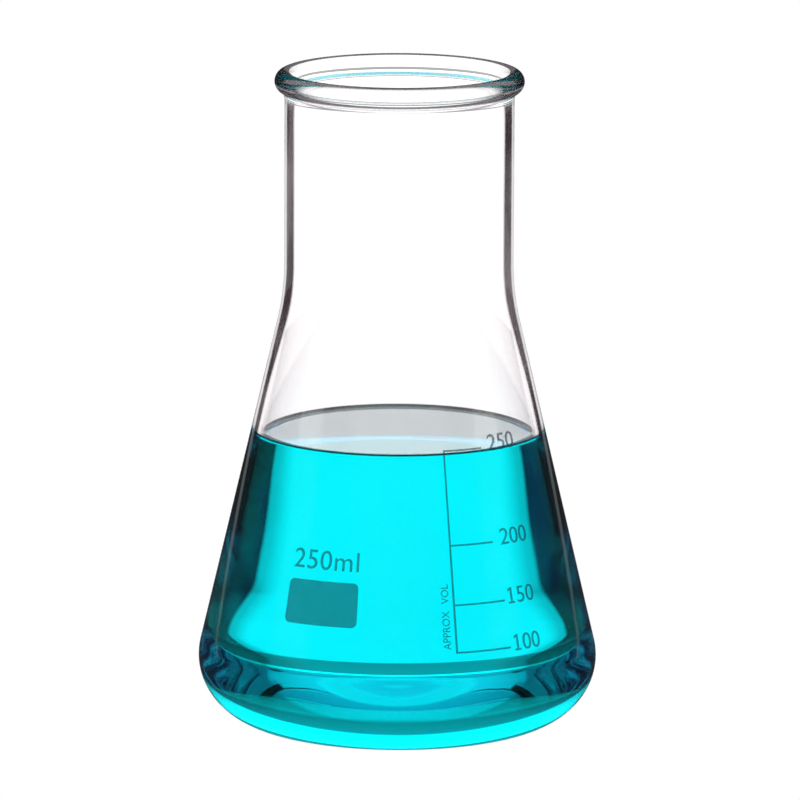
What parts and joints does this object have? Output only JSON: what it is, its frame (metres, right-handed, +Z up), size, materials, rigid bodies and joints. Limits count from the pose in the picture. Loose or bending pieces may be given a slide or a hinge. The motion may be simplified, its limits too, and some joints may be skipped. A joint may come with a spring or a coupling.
{
  "type": "erlenmeyer flask",
  "caption": "Wide-neck conical laboratory flask of clear glass with a beaded rim and printed volume marks, holding a clear cyan liquid up to its top mark.",
  "frame": {"origin": "on the flask's axis, in the plane of the standing ring that it rests on", "axes": "+Z up along the flask's axis; the printed face looks along -Y; +X is to the right of someone who reads the print"},
  "size_m": [0.085, 0.085, 0.141],
  "materials": {
    "glass": "gloss",
    "liquid": "gloss",
    "enamel": "satin"
  },
  "bodies": {
    "root": {"flask_glass": "glass", "liquid": "liquid", "graduation_scale": "enamel", "marking_spot": "enamel", "capacity_hundreds": "enamel", "capacity_l": "enamel", "capacity_m": "enamel", "capacity_tens": "enamel", "capacity_units": "enamel", "note_1_A": "enamel", "note_2_P": "enamel", "note_3_P": "enamel", "note_4_R": "enamel", "note_5_O": "enamel", "note_6_X": "enamel", "note_7_V": "enamel", "note_8_O": "enamel", "note_9_L": "enamel", "numeral_100_hundreds": "enamel", "numeral_100_tens": "enamel", "numeral_100_units": "enamel", "numeral_150_hundreds": "enamel", "numeral_150_tens": "enamel", "numeral_150_units": "enamel", "numeral_200_hundreds": "enamel", "numeral_200_tens": "enamel", "numeral_200_units": "enamel", "numeral_250_hundreds": "enamel", "numeral_250_tens": "enamel", "numeral_250_units": "enamel"}
  },
  "joints": []
}
